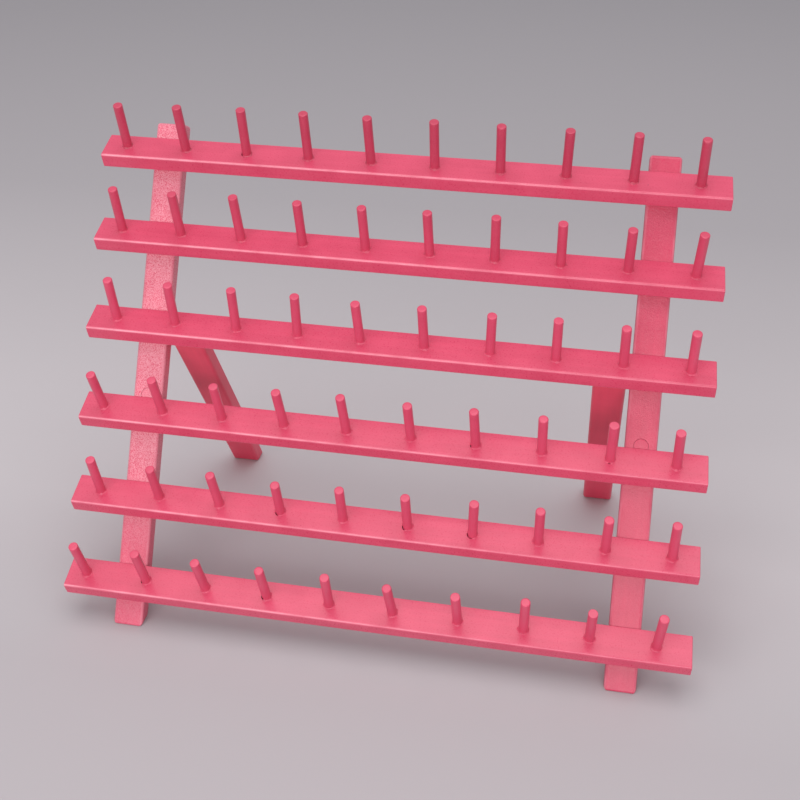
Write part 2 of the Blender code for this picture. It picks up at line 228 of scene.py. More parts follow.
class HardwareSizes(bpy.types.PropertyGroup):
    """Sizes of the bolts, washers, nuts and screws."""
    bolt_diameter: FloatProperty(
        name="Bolt diameter", description="Diameter of a leg bolt", default=0.0040, unit="LENGTH")
    head_diameter: FloatProperty(
        name="Bolt head diameter", description="Diameter of its pan head",
        default=0.0084, unit="LENGTH")
    head_height: FloatProperty(
        name="Bolt head height", description="Height of its pan head",
        default=0.0022, unit="LENGTH")
    bolt_end: FloatProperty(
        name="Bolt end", description="Thread beyond the nut", default=0.0008, unit="LENGTH")
    washer_diameter: FloatProperty(
        name="Washer diameter", description="Diameter of the washers",
        default=0.0090, unit="LENGTH")
    spacer: FloatProperty(
        name="Spacer thickness", description="Washer between upright and leg",
        default=0.0015, unit="LENGTH")
    nut_washer: FloatProperty(
        name="Nut washer thickness", description="Washer under the nut",
        default=0.0008, unit="LENGTH")
    nut_flats: FloatProperty(
        name="Nut across flats", description="Nut size across its flats",
        default=0.0070, unit="LENGTH")
    nut_height: FloatProperty(
        name="Nut height", description="Height of the nut", default=0.0032, unit="LENGTH")
    thread_pitch: FloatProperty(
        name="Thread pitch", description="Pitch of the bolt's thread",
        default=0.0007, unit="LENGTH")
    screw_diameter: FloatProperty(
        name="Screw diameter", description="Shank of a slat screw", default=0.0030, unit="LENGTH")
    screw_head: FloatProperty(
        name="Screw head diameter", description="Countersunk head", default=0.0060, unit="LENGTH")
    screw_head_height: FloatProperty(
        name="Screw head height", description="Depth of the countersunk head",
        default=0.0018, unit="LENGTH")
    screw_length: FloatProperty(
        name="Screw length", description="Length of a slat screw", default=0.0175, unit="LENGTH")
    screw_sink: FloatProperty(
        name="Screw head depth", description="Head below the upright's back",
        default=0.0004, unit="LENGTH")
    screw_drop: FloatProperty(
        name="Screw drop", description="Share of the slat's glued face above the screw",
        default=0.70)


class RackFinish(bpy.types.PropertyGroup):
    """Colours and surface of the paint, the steel and the stage."""
    paint: FloatVectorProperty(
        name="Paint", description="Colour of the sprayed paint", subtype="COLOR", size=3,
        default=(0.690, 0.070, 0.145))
    paint_deep: FloatVectorProperty(
        name="Deep paint", description="The paint where it lies thick", subtype="COLOR", size=3,
        default=(0.600, 0.052, 0.116))
    # Painted sheen: pale flecks standing in for the orange peel catching the light.
    paint_sheen: FloatVectorProperty(
        name="Pale paint", description="The paint where its grain catches the light",
        subtype="COLOR", size=3, default=(0.860, 0.400, 0.460))
    # Painted highlight: a paler colour along rounded edges, standing in for the gloss of the light
    # on them.
    paint_edge_highlight: FloatVectorProperty(
        name="Edge paint", description="The thin, highlighted paint along the rounded edges",
        subtype="COLOR", size=3, default=(0.900, 0.360, 0.440))
    # Painted shade: the deeper, darker tone of the legs stands in for the shade they lie in.
    leg_shade_tone: FloatVectorProperty(
        name="Leg tone", description="How the paint on the legs differs from the rest",
        size=3, default=(1.14, 0.68, 0.78))
    paint_pit: FloatVectorProperty(
        name="Paint pit", description="Bare wood in a pit of the paint",
        subtype="COLOR", size=3, default=(0.160, 0.012, 0.035))
    steel: FloatVectorProperty(
        name="Steel", description="Colour of the zinc plated steel", subtype="COLOR", size=3,
        default=(0.60, 0.60, 0.62))
    floor_near: FloatVectorProperty(
        name="Floor near", description="Floor colour in front of the rack", subtype="COLOR", size=3,
        default=(0.450, 0.420, 0.436))
    # Painted light: a paler floor below and just behind the rack.
    floor_under_light: FloatVectorProperty(
        name="Floor under", description="Floor colour below and just behind the rack",
        subtype="COLOR", size=3, default=(0.530, 0.495, 0.510))
    # Painted shade: the floor darker far behind the rack, where the light falls off.
    floor_far_shade: FloatVectorProperty(
        name="Floor far", description="Floor colour far behind the rack", subtype="COLOR", size=3,
        default=(0.388, 0.370, 0.388))


def sizes():
    return bpy.context.scene.rack_sizes


def pegs():
    return bpy.context.scene.peg_sizes


def hardware():
    return bpy.context.scene.hardware_sizes


def row_pitch():
    s = sizes()
    return (s.upright_length - s.lowest_row - s.top_margin) / (ROWS - 1)


def row_height(row):
    """Distance up the upright from the floor to a slat's rear top edge."""
    s = sizes()
    return s.lowest_row + row_pitch() * (ROWS - 1 - row + s.lift_shares[row])


def upright_depth():
    """Middle of an upright behind the slats' backs."""
    return sizes().clearance + sizes().strip_depth / 2


def joint_place(side):
    return next(Vector(j["pos_m"]) for j in frame["joints"] if j["name"] == f"leg_fold_{side}")


def leaning_frame():
    """Origin on the floor, X along the slats, Y into the back, Z up the uprights."""
    turn = Matrix.Rotation(-sizes().lean, 4, "X")
    up, back = turn.to_3x3() @ Vector((0, 0, 1)), turn.to_3x3() @ Vector((0, 1, 0))
    pivot = joint_place("left")
    foot = pivot - back * upright_depth()
    origin = foot - up * (foot.z / up.z)
    return Matrix.Translation((0, origin.y, 0)) @ turn


def pivot_height():
    """Distance up the upright from the floor to the leg bolt."""
    return (leaning_frame().inverted() @ joint_place("left")).z


def slat_frame(row):
    place = Matrix.Translation((0, 0, row_height(row)))
    return leaning_frame() @ place @ Matrix.Rotation(sizes().tilts[row], 4, "X")


def in_frame(x, y, z):
    return leaning_frame() @ Matrix.Translation((x, y, z))


def turned_to(aim, place=(0, 0, 0)):
    """Matrix that lays a piece made along Z along the aim, at a place."""
    turn = Vector(aim).to_track_quat("Z", "Y").to_matrix().to_4x4()
    return Matrix.Translation(Vector(place)) @ turn


def bevel(mesh, edges, radius, segments):
    return bmesh.ops.bevel(
        mesh, geom=edges, offset=radius, offset_type="OFFSET", segments=segments,
        profile=0.5, affect="EDGES", clamp_overlap=True, material=-1)


def lathe(mesh, profile, steps, matrix=Matrix()):
    """Spins a closed profile of (radius, height) points round Z and adds it to the mesh."""
    made = bmesh.new()
    verts = [made.verts.new((radius, 0, height)) for radius, height in profile]
    edges = [made.edges.new(pair) for pair in zip(verts, verts[1:])]
    if profile[0][0] > 0:
        edges.append(made.edges.new((verts[-1], verts[0])))
    bmesh.ops.spin(
        made, geom=verts + edges, cent=(0, 0, 0), axis=(0, 0, 1), angle=math.tau,
        steps=steps, use_merge=True)
    bmesh.ops.remove_doubles(made, verts=made.verts, dist=MERGE)
    bmesh.ops.recalc_face_normals(made, faces=made.faces)
    bmesh.ops.transform(made, matrix=matrix, verts=made.verts)
    add_mesh(mesh, made)


def add_mesh(mesh, other):
    """Adds another bmesh to the mesh and frees it."""
    data = bpy.data.meshes.new("added")
    other.to_mesh(data)
    other.free()
    mesh.from_mesh(data)
    bpy.data.meshes.remove(data)


def cut(mesh, tool, operation="DIFFERENCE"):
    """The mesh after a Boolean with the tool, both bmeshes in one frame."""
    objects = []
    for made in (mesh, tool):
        data = bpy.data.meshes.new("cutting")
        made.to_mesh(data)
        made.free()
        objects.append(bpy.data.objects.new("cutting", data))
        bpy.context.scene.collection.objects.link(objects[-1])
    modifier = objects[0].modifiers.new("cut", "BOOLEAN")
    modifier.operation = operation
    modifier.solver = "EXACT"
    modifier.object = objects[1]
    graph = bpy.context.evaluated_depsgraph_get()
    result = bmesh.new()
    result.from_mesh(objects[0].evaluated_get(graph).to_mesh())
    for made in objects:
        data = made.data
        bpy.data.objects.remove(made, do_unlink=True)
        bpy.data.meshes.remove(data)
    return result


def finish_piece(mesh, name, matrix, body, nodes, material, along="Z", shift=0.0,
                 highlight_share=None):
    """Makes a piece of a bmesh, keeps its grain and its painted edge highlight, and puts it on its
    body.
    """
    turn = Matrix.Rotation(math.pi / 2, 3, "Y") if along == "X" else Matrix.Identity(3)
    offset = Vector((shift * 0.37, shift * 0.61, shift))
    grain = mesh.verts.layers.float_vector.new("grain")
    # The edge attribute is each point's share of painted highlight.
    edge = mesh.verts.layers.float.new("edge")
    for vert in mesh.verts:
        vert[edge] = highlight_share(vert.co) if highlight_share else 0.0
        vert[grain] = turn @ vert.co + offset
    bmesh.ops.transform(mesh, matrix=matrix, verts=mesh.verts)
    data = bpy.data.meshes.new(name)
    mesh.to_mesh(data)
    mesh.free()
    data.shade_smooth()
    data.set_sharp_from_angle(angle=SHARP_ANGLE)
    data.materials.append(material)
    piece = bpy.data.objects.new(name, data)
    bpy.context.scene.collection.objects.link(piece)
    weighted = piece.modifiers.new("flat faces", "WEIGHTED_NORMAL")
    weighted.keep_sharp = True
    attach(piece, body)
    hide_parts(*nodes)
    return piece


# Materials

def new_material(name, roughness, metallic=0.0):
    material = bpy.data.materials.new(name)
    material.use_nodes = True
    nodes = material.node_tree.nodes
    shader = next(n for n in nodes if n.type == "BSDF_PRINCIPLED")
    shader.inputs["Roughness"].default_value = roughness
    shader.inputs["Metallic"].default_value = metallic
    return material, nodes, material.node_tree.links, shader


def node(nodes, kind, **values):
    """A new node with values set on its sockets or, where it has no such socket, on itself."""
    made = nodes.new(kind)
    for key, value in values.items():
        if key in made.inputs:
            made.inputs[key].default_value = value
        else:
            setattr(made, key, value)
    return made


def noise(nodes, links, place, scale, detail, stretch=(1, 1, 1)):
    """A noise on the piece's own grain coordinates, drawn out along its Z."""
    mapping = node(nodes, "ShaderNodeMapping", Scale=stretch)
    made = node(nodes, "ShaderNodeTexNoise", Scale=scale, Detail=detail, Roughness=0.55)
    links.new(place, mapping.inputs["Vector"])
    links.new(mapping.outputs["Vector"], made.inputs["Vector"])
    return made.outputs["Fac"]


def span(nodes, links, value, low, high, to_low=0.0, to_high=1.0):
    """Maps a value from one range to another."""
    made = nodes.new("ShaderNodeMapRange")
    ends = {"From Min": low, "From Max": high, "To Min": to_low, "To Max": to_high}
    for key, number in ends.items():
        made.inputs[key].default_value = number
    links.new(value, made.inputs["Value"])
    return made.outputs["Result"]


def join(nodes, links, operation, first, second):
    """Does sums on two values, each a number or another node's output."""
    made = node(nodes, "ShaderNodeMath", operation=operation)
    for socket, value in zip(made.inputs, (first, second)):
        if isinstance(value, (int, float)):
            socket.default_value = value
        else:
            links.new(value, socket)
    return made.outputs[0]


def mixed(nodes, links, factor, first, second):
    """Mixes two colours, each a fixed colour or another node's output."""
    made = node(nodes, "ShaderNodeMix", data_type="RGBA")
    links.new(factor, made.inputs["Factor"])
    for socket, colour in zip((made.inputs["A"], made.inputs["B"]), (first, second)):
        if isinstance(colour, bpy.types.NodeSocket):
            links.new(colour, socket)
        else:
            socket.default_value = (*colour, 1)
    return made.outputs["Result"]


def painted_wood(name, rough, fibre, peel, bump, sheen_share, fine=1150, tone=(1, 1, 1), highlight_fade=None):
    """Satin sprayed paint over wood: fibres, orange peel, a few dark pits, and painted light:
    a painted highlight on rounded edges, pale flecks of painted sheen, and painted shade.

    Fibre and peel are shares of the bump's height, fine is the peel's scale, and the pale
    flecks of painted sheen thin out towards the piece's foot between the two heights of
    highlight_fade. tone darkens the paint as painted shade.
    """
    finish = bpy.context.scene.rack_finish
    material, nodes, links, shader = new_material(name, rough)
    place = node(nodes, "ShaderNodeAttribute", attribute_name="grain").outputs["Vector"]
    fibres = noise(nodes, links, place, *FIBRES)
    grain = noise(nodes, links, place, *GRAIN)
    clouds = noise(nodes, links, place, *CLOUDS)
    peels = noise(nodes, links, place, fine, PEEL_DETAIL)
    waves = noise(nodes, links, place, *WAVES)
    pits = node(nodes, "ShaderNodeTexVoronoi", Scale=PIT_SCALE, Randomness=1.0)
    links.new(place, pits.inputs["Vector"])
    rare = node(nodes, "ShaderNodeSeparateColor")
    links.new(pits.outputs["Color"], rare.inputs["Color"])
    reach = span(nodes, links, rare.outputs["Red"], PIT_RARE, 1.0, 0.0, PIT_REACH)
    pit = join(nodes, links, "LESS_THAN", pits.outputs["Distance"], reach)
    shade = join(nodes, links, "ADD", span(nodes, links, clouds, 0.35, 0.65, 0.0, 0.45),
                 span(nodes, links, grain, 0.3, 0.7, 0.0, 0.55))
    # tone darkens the paint of pieces that lie in shade: painted shade.
    colour = mixed(nodes, links, shade, [c * t for c, t in zip(finish.paint_deep, tone)],
                   [c * t for c, t in zip(finish.paint, tone)])
    # Painted sheen: pale flecks where the orange peel would catch the light, fewer towards the
    # foot.
    sheen_fleck = join(nodes, links, "MULTIPLY", span(nodes, links, peels, 0.34, 0.66), sheen_share)
    if highlight_fade:
        along = node(nodes, "ShaderNodeSeparateXYZ")
        links.new(place, along.inputs["Vector"])
        sheen_fleck = join(nodes, links, "MULTIPLY", sheen_fleck,
                     span(nodes, links, along.outputs["Z"], *highlight_fade, 0.35, 1.0))
    colour = mixed(nodes, links, sheen_fleck, colour, finish.paint_sheen)
    # Painted highlight: rounded edges turn paler, standing in for the gloss of the light on them.
    edge = node(nodes, "ShaderNodeAttribute", attribute_name="edge").outputs["Fac"]
    highlight_mask = join(nodes, links, "MULTIPLY", span(nodes, links, edge, 0.10, 0.90),
                span(nodes, links, clouds, 0.35, 0.60, 0.35, 0.80))
    colour = mixed(nodes, links, highlight_mask, colour, finish.paint_edge_highlight)
    links.new(mixed(nodes, links, pit, colour, finish.paint_pit), shader.inputs["Base Color"])
    links.new(span(nodes, links, peels, 0.3, 0.7, rough - 0.04, rough + 0.05),
              shader.inputs["Roughness"])
    height = join(nodes, links, "ADD", join(nodes, links, "MULTIPLY", fibres, fibre),
                  join(nodes, links, "MULTIPLY", peels, peel))
    height = join(nodes, links, "ADD", height, join(nodes, links, "MULTIPLY", waves, peel * 0.8))
    height = join(nodes, links, "SUBTRACT", height, pit)
    relief = node(nodes, "ShaderNodeBump", Strength=1.0, Distance=bump)
    links.new(height, relief.inputs["Height"])
    links.new(relief.outputs["Normal"], shader.inputs["Normal"])
    return material


def zinc_steel():
    """Zinc plated steel, faintly clouded and scuffed."""
    finish = bpy.context.scene.rack_finish
    material, nodes, links, shader = new_material("zinc_plate", 0.34, 1.0)
    place = node(nodes, "ShaderNodeTexCoord").outputs["Object"]
    clouds = noise(nodes, links, place, 700, 3)
    scuffs = noise(nodes, links, place, 3000, 2)
    colour = mixed(nodes, links, span(nodes, links, clouds, 0.3, 0.7),
                   [c * 0.72 for c in finish.steel], [min(1, c * 1.12) for c in finish.steel])
    links.new(colour, shader.inputs["Base Color"])
    links.new(span(nodes, links, clouds, 0.3, 0.7, 0.26, 0.44), shader.inputs["Roughness"])
    relief = node(nodes, "ShaderNodeBump", Strength=0.5, Distance=0.00004)
    links.new(scuffs, relief.inputs["Height"])
    links.new(relief.outputs["Normal"], shader.inputs["Normal"])
    return material


MATERIALS = {}


def finish_of(kind):
    """The material of a kind of piece, made once."""
    finish = bpy.context.scene.rack_finish
    peg = {"rough": 0.34, "fibre": 0.35, "peel": 0.50, "bump": 0.00005, "sheen_share": 0.05}
    makers = {
        "slat": lambda: painted_wood(
            "painted_slat", rough=0.30, fibre=0.40, peel=0.35, bump=0.00005, sheen_share=0.05),
        # Painted shade: the two top rows of pegs are darker, standing in for their shade.
        "peg_1": lambda: painted_wood("painted_peg_top_shaded", **peg, tone=(0.80, 0.66, 0.70)),
        "peg_2": lambda: painted_wood("painted_peg_second_shaded", **peg, tone=(0.92, 0.80, 0.84)),
        "peg_3": lambda: painted_wood("painted_peg", **peg),
        # Painted sheen on the left upright: many pale flecks, thinning towards its foot. The right
        # upright is a shaded copy, with few flecks and a darker tone: painted shade.
        "upright_left": lambda: painted_wood(
            "painted_left_sheen", rough=0.30, fibre=0.20, peel=1.00, bump=0.00020, sheen_share=0.70,
            fine=1700, highlight_fade=(0.045, 0.110)),
        "upright_right": lambda: painted_wood(
            "painted_right_shaded", rough=0.32, fibre=0.20, peel=1.00, bump=0.00016, sheen_share=0.08,
            fine=1700, tone=(0.88, 0.62, 0.74)),
        # Painted shade on the legs, by leg_shade_tone.
        "leg": lambda: painted_wood(
            "painted_leg_shaded", rough=0.40, fibre=0.45, peel=0.55, bump=0.00008, sheen_share=0.04,
            tone=finish.leg_shade_tone),
        "steel": zinc_steel,
    }
    if kind not in MATERIALS:
        MATERIALS[kind] = makers[kind]()
    return MATERIALS[kind]


# Shapes

def hash_share(*numbers):
    """A fixed number from -1 to 1 for a peg or piece, the same on every run."""
    total = sum(n * k for n, k in zip(numbers, (12.9898, 78.233, 37.719)))
    stirred = math.sin(total) * 43758.5453
    return 2 * (stirred - math.floor(stirred)) - 1


def peg_place(row, number):
    """A peg's place along its slat, from the slat's middle."""
    p, s = pegs(), sizes()
    pitch = (s.slat_length - 2 * p.end_margin) / (p.count - 1)
    steps = number - (p.count - 1) / 2 + p.slip_shares[row]
    return pitch * steps + PEG_SHIFTS[row][number] * MM


def ring_gap(row, number):
    """Middle and half width of the gap in a peg's paint ring, in radians, if it has one."""
    for gap_row, gap_number, middle, half in RING_GAPS:
        if (gap_row, gap_number) == (row, number):
            return math.radians(middle), math.radians(half)
    return None


def slat_board(row):
    """A slat, its rear face ripped to lie flat on the uprights, with ten blind holes."""
    s, p = sizes(), pegs()
    mesh = bmesh.new()
    bmesh.ops.create_cube(mesh, size=1.0)
    for vert in mesh.verts:
        rear = 0.0 if vert.co.z > 0 else -s.slat_thickness * math.tan(s.tilts[row])
        vert.co = (
            vert.co.x * s.slat_length,
            rear if vert.co.y > 0 else -s.slat_width,
            0.0 if vert.co.z > 0 else -s.slat_thickness)
    front = [e for e in mesh.edges if all(v.co.y < -s.slat_width * 0.9 for v in e.verts)
             and abs(e.verts[0].co.x - e.verts[1].co.x) > s.slat_width]
    bevel(mesh, front, s.slat_edge, SLAT_EDGE_STEPS)
    sharp = [e for e in mesh.edges if e.calc_face_angle(0) > SHARP_ANGLE]
    bevel(mesh, sharp, s.end_edge, END_EDGE_STEPS)
    holes = bmesh.new()
    depth = s.slat_thickness / 2 + s.clearance
    radius = p.diameter / 2 + s.clearance / 10
    for number in range(p.count):
        gap, shift = ring_gap(row, number), Vector()
        if gap:
            shift = Vector((math.cos(gap[0]), math.sin(gap[0]), 0)) * p.ring_gap / 2
        place = Matrix.Translation(Vector((peg_place(row, number), -p.offset, 0)) + shift)
        wide = radius + shift.length
        bmesh.ops.create_cone(
            holes, cap_ends=True, segments=HOLE_STEPS, radius1=wide, radius2=wide,
            depth=2 * depth, matrix=place)
    return cut(mesh, holes)


def rounding_share(past_first, past_second, radius):
    """How deep a point lies in a rounded edge, from its distances past both tangent lines."""
    return max(0.0, min(past_first, past_second)) / radius * math.sqrt(2)


def slat_edge_highlight(place):
    """Share of painted highlight on a slat's rounded top front edge, less towards its right end."""
    s = sizes()
    highlight_fade = EDGE_HIGHLIGHT - EDGE_HIGHLIGHT_FADE * place.x / s.slat_length
    return highlight_fade * rounding_share(
        s.slat_edge - s.slat_width - place.y, place.z + s.slat_edge, s.slat_edge)


def strip_edge_highlight(place):
    """Share of painted highlight on an upright's two rounded front edges."""
    s = sizes()
    return STRIP_EDGE_HIGHLIGHT * rounding_share(
        abs(place.x) - s.upright_width / 2 + s.strip_edge,
        s.strip_edge - s.strip_depth / 2 - place.y, s.strip_edge)


def peg_profile(reach, ease, swell):
    """Half outline of a peg: foot in its hole, ring of paint, shaft, rounded tip."""
    p = pegs()
    radius, low = p.diameter / 2, -sizes().slat_thickness / 2
    chamfer, crown = 0.4 * MM, 0.06 * MM
    foot = [(0, low), (radius - chamfer, low), (radius, low + chamfer)]
    ring = [(radius + p.paint_ring * out, p.paint_ring * high) for out, high in RING_OUTLINE]
    shaft = [(radius * (1 + swell * share), reach * high) for high, share in PEG_WANDER]
    tip = [(radius - ease * (1 - math.cos(a)), reach - ease * (1 - math.sin(a)))
           for a in (math.pi / 2 * k / TIP_STEPS for k in range(TIP_STEPS + 1))]
    top = [(radius * 0.45, reach + crown * 2 / 3), (0, reach + crown)]
    return foot + ring + shaft + tip + top


def peg_row(row):
    """A row's ten pegs, each with its own lean, reach, tip and paint ring."""
    p = pegs()
    crown_room, swell = 0.1 * MM, 0.012
    mesh = bmesh.new()
    for number in range(p.count):
        rise = PEG_RISES[row][number]
        reach = p.length * (1 + p.extra_shares[row]) + rise * p.depth_share * MM - crown_room
        lean = Matrix.Rotation(math.radians(PEG_LEANS[row][number]), 4, "Y")
        tip = Matrix.Rotation(-math.radians(rise * (1 - p.depth_share)), 4, "X")
        place = Matrix.Translation((peg_place(row, number), -p.offset, 0))
        ease = p.tip_radius * (1.1 + 0.4 * hash_share(row, number, 3))
        peg = bmesh.new()
        lathe(peg, peg_profile(reach, ease, swell * hash_share(row, number, 4)), PEG_STEPS)
        shape_ring(peg, row, number)
        bmesh.ops.transform(peg, matrix=place @ lean @ tip, verts=peg.verts)
        add_mesh(mesh, peg)
    return mesh


def shape_ring(peg, row, number):
    """Makes a peg's paint ring uneven, and takes it off where the ring has a gap."""
    p = pegs()
    radius, gap = p.diameter / 2, ring_gap(row, number)
    for vert in peg.verts:
        out = vert.co.xy.length
        if abs(vert.co.z) > p.paint_ring or out < radius:
            continue
        angle = math.atan2(vert.co.y, vert.co.x)
        build = 1 + sum(high * math.sin(waves * angle + 5 * hash_share(row, number, seed))
                        for waves, high, seed in RING_WAVES)
        if gap and abs((angle - gap[0] + math.pi) % math.tau - math.pi) < gap[1]:
            build = 0
        vert.co.xy *= (radius + (out - radius) * build) / out
        if vert.co.z > 0:
            vert.co.z *= max(build, 0.1)


def strip(width, length_of):
    """A wooden strip about its own X and Y middle; its ends are functions of end and depth."""
    s = sizes()
    mesh = bmesh.new()
    bmesh.ops.create_cube(mesh, size=1.0)
    for vert in mesh.verts:
        depth = vert.co.y * s.strip_depth
        vert.co = (vert.co.x * width, depth, length_of(vert.co.z > 0, depth))
    bevel(mesh, list(mesh.edges), s.strip_edge, STRIP_EDGE_STEPS)
    return mesh


def round_tool(tools, diameter, low, high, aim, place):
    """Adds a round cutter between two distances from a place, along an aim."""
    bmesh.ops.create_cone(
        tools, cap_ends=True, segments=HOLE_STEPS, radius1=diameter / 2, radius2=diameter / 2,
        depth=high - low,
        matrix=turned_to(aim, place) @ Matrix.Translation((0, 0, (low + high) / 2)))


def screw_height(row):
    s = sizes()
    return row_height(row) - s.slat_thickness / math.cos(s.tilts[row]) * hardware().screw_drop


def plug_height():
    return row_height(3) + pegs().plug_diameter * pegs().plug_rise


def upright():
    """An upright with its bolt hole, plug hole and six countersunk screw holes."""
    s, p, h = sizes(), pegs(), hardware()
    centre = upright_depth()

    def ends(top, depth):
        return s.upright_length if top else (centre + depth) * math.tan(s.lean)
    gap = s.clearance
    tools = bmesh.new()
    round_tool(tools, h.bolt_diameter + 2 * gap, -s.upright_width, s.upright_width, (1, 0, 0),
               (0, 0, pivot_height()))
    round_tool(tools, p.plug_diameter + gap / 2, -OVERCUT / 2, p.plug_length, (0, 1, 0),
               (0, -s.strip_depth / 2, plug_height()))
    for row in range(ROWS):
        head, shank = h.screw_head / 2 + gap, h.screw_diameter / 2 + gap
        sunk = s.strip_depth / 2 - h.screw_sink
        end = 5 * OVERCUT
        lathe(tools, [(0, -OVERCUT), (head, -OVERCUT), (head, 0),
                      (shank, h.screw_head_height + gap), (shank, end), (0, end)],
              SCREW_STEPS, turned_to((0, -1, 0), (0, sunk, screw_height(row))))
    return cut(strip(s.upright_width, ends), tools)


def leg():
    """A rear leg, its top end cut to bear on the third slat's back when it is open."""
    s = sizes()
    slope = s.opening - s.lean
    high = joint_place("left").z

    def ends(top, depth):
        if top:
            return (s.strip_depth / 2 + depth * math.cos(s.opening)) / math.sin(s.opening)
        return -(high + depth * math.sin(slope)) / math.cos(slope)
    tools = bmesh.new()
    bore = hardware().bolt_diameter + 2 * s.clearance
    round_tool(tools, bore, -s.leg_width, s.leg_width, (1, 0, 0), (0, 0, 0))
    return cut(strip(s.leg_width, ends), tools)


def cross_recess(size, depth):
    """Cutter for a driver's cross recess, as far above height zero as below it."""
    arms = []
    for turn in (0, math.pi / 2):
        arm = bmesh.new()
        bmesh.ops.create_cube(arm, size=1.0)
        for vert in arm.verts:
            taper = 1.0 if vert.co.z > 0 else RECESS_TAPER
            vert.co = (
                vert.co.x * size * taper, vert.co.y * size * RECESS_WIDTH, vert.co.z * depth * 2)
        bmesh.ops.rotate(arm, verts=arm.verts, cent=(0, 0, 0), matrix=Matrix.Rotation(turn, 3, "Z"))
        arms.append(arm)
    return cut(*arms, "UNION")


def rounded_rim(radius, low, high, ease):
    """Outline of a disc's edge from its lower to its upper face, both rims eased."""
    near = ease * 0.3
    return [(radius - ease, low), (radius - near, low + near), (radius, low + ease),
            (radius, high - ease), (radius - near, high - near), (radius - ease, high)]


def washer(outer, thickness):
    """A washer from height zero, with eased rims."""
    bore = hardware().bolt_diameter / 2 + sizes().clearance
    ease = thickness * 0.18
    rim = rounded_rim(outer / 2, 0, thickness, ease)
    inside = [(bore + ease, thickness), (bore, thickness - ease), (bore, ease), (bore + ease, 0)]
    mesh = bmesh.new()
    lathe(mesh, rim + inside, WASHER_STEPS)
    return mesh


def hex_nut():
    """A hexagon nut from height zero, its corners and its bore chamfered at both ends."""
    h = hardware()
    corner, high = h.nut_flats / math.sqrt(3), h.nut_height
    body = bmesh.new()
    bmesh.ops.create_cone(
        body, cap_ends=True, segments=6, radius1=corner, radius2=corner, depth=high,
        matrix=Matrix.Translation((0, 0, high / 2)))
    flat = h.nut_flats / 2 * 0.96
    rise, wide = (corner - flat) * 0.58, corner + 0.01 * MM
    limit = bmesh.new()
    lathe(limit, [(0, 0), (flat, 0), (wide, rise), (wide, high - rise), (flat, high), (0, high)],
          NUT_STEPS)
    chamfered = cut(body, limit, "INTERSECT")
    bore = bmesh.new()
    inner, ease, past = h.bolt_diameter / 2 + sizes().clearance / 3, 0.4 * MM, 1 * MM
    lathe(bore, [(0, -past), (inner + past, -past), (inner + ease, 0), (inner, ease),
                 (inner, high - ease), (inner + ease, high), (inner + past, high + past),
                 (0, high + past)], HOLE_STEPS)
    return cut(chamfered, bore)


def thread(radius, depth, pitch, low, high):
    """Outline of a thread's crests and roots between two heights."""
    root, points = radius - depth, []
    for turn in range(int((high - low) / pitch)):
        start = low + turn * pitch
        points += [(out, start + pitch * share)
                   for out, share in ((root, 0), (root, 0.15), (radius, 0.5), (radius, 0.6))]
    return points


def bolt(length):
    """A pan head bolt with a cross recess; its head's seat is at zero and it runs along +Z."""
    h = hardware()
    radius, head = h.bolt_diameter / 2, h.head_diameter / 2
    ease, root, end, steps = 0.2 * MM, 0.35 * MM, 0.8 * MM, 8
    wall, dome_power, plain = 0.35, 0.45, 0.55
    dome = [(head * math.cos(a) ** dome_power, -h.head_height * (wall + (1 - wall) * math.sin(a)))
            for a in (math.pi / 2 * k / steps for k in range(steps))]
    profile = [(0, -h.head_height)] + dome[::-1] + [(head, -ease), (head - ease, 0), (radius, 0)]
    profile += [(radius, length * plain)]
    profile += thread(radius, root, h.thread_pitch, length * (plain + 0.01), length - end)
    profile += [(radius - end / 2, length - end * 0.75), (radius - end, length), (0, length)]
    mesh = bmesh.new()
    lathe(mesh, profile, BOLT_STEPS)
    recess = cross_recess(h.head_diameter * 0.52, 1.3 * MM)
    bmesh.ops.translate(recess, verts=recess.verts, vec=(0, 0, -h.head_height))
    return cut(mesh, recess)


def screw():
    """A countersunk wood screw with a cross recess; its head is at zero and it runs along -Z."""
    h = hardware()
    head, shank, length = h.screw_head / 2, h.screw_diameter / 2, h.screw_length
    core, root, pitch, point = shank * 0.82, shank * 0.3, 1.3 * MM, 3.5 * MM
    neck = h.screw_head_height
    start = neck + 2 * MM
    profile = [(0, 0), (head - 0.15 * MM, 0), (head, -0.1 * MM), (head, -0.25 * MM),
               (core, -neck), (core, -start)]
    profile += [(r, -z) for r, z in thread(shank, root, pitch, start, length - point)]
    profile += [(shank - root, point - 0.1 * MM - length), (0, -length)]
    mesh = bmesh.new()
    lathe(mesh, profile, SCREW_STEPS)
    bmesh.ops.recalc_face_normals(mesh, faces=mesh.faces)
    return cut(mesh, cross_recess(h.screw_head * 0.56, 1.1 * MM))


def front_plug():
    """A round plug, flush in the upright, with an eased rim."""
    p = pegs()
    mesh = bmesh.new()
    rim = rounded_rim(p.plug_diameter / 2, 0, p.plug_length, 0.4 * MM)
    lathe(mesh, [(0, 0)] + rim + [(0, p.plug_length)], PLUG_STEPS)
    return mesh


# Operators

class RACK_OT_slats(bpy.types.Operator):
    """Build the six slats, each with ten blind holes for its pegs."""
    bl_idname = "thread_rack.slats"
    bl_label = "Slats"

    def execute(self, context):
        for row in range(ROWS):
            finish_piece(slat_board(row), f"slat_{row + 1}", slat_frame(row), BODY,
                         [f"peg_slat_{row + 1}"], finish_of("slat"), "X", row * 0.7,
                         slat_edge_highlight)
        return {"FINISHED"}


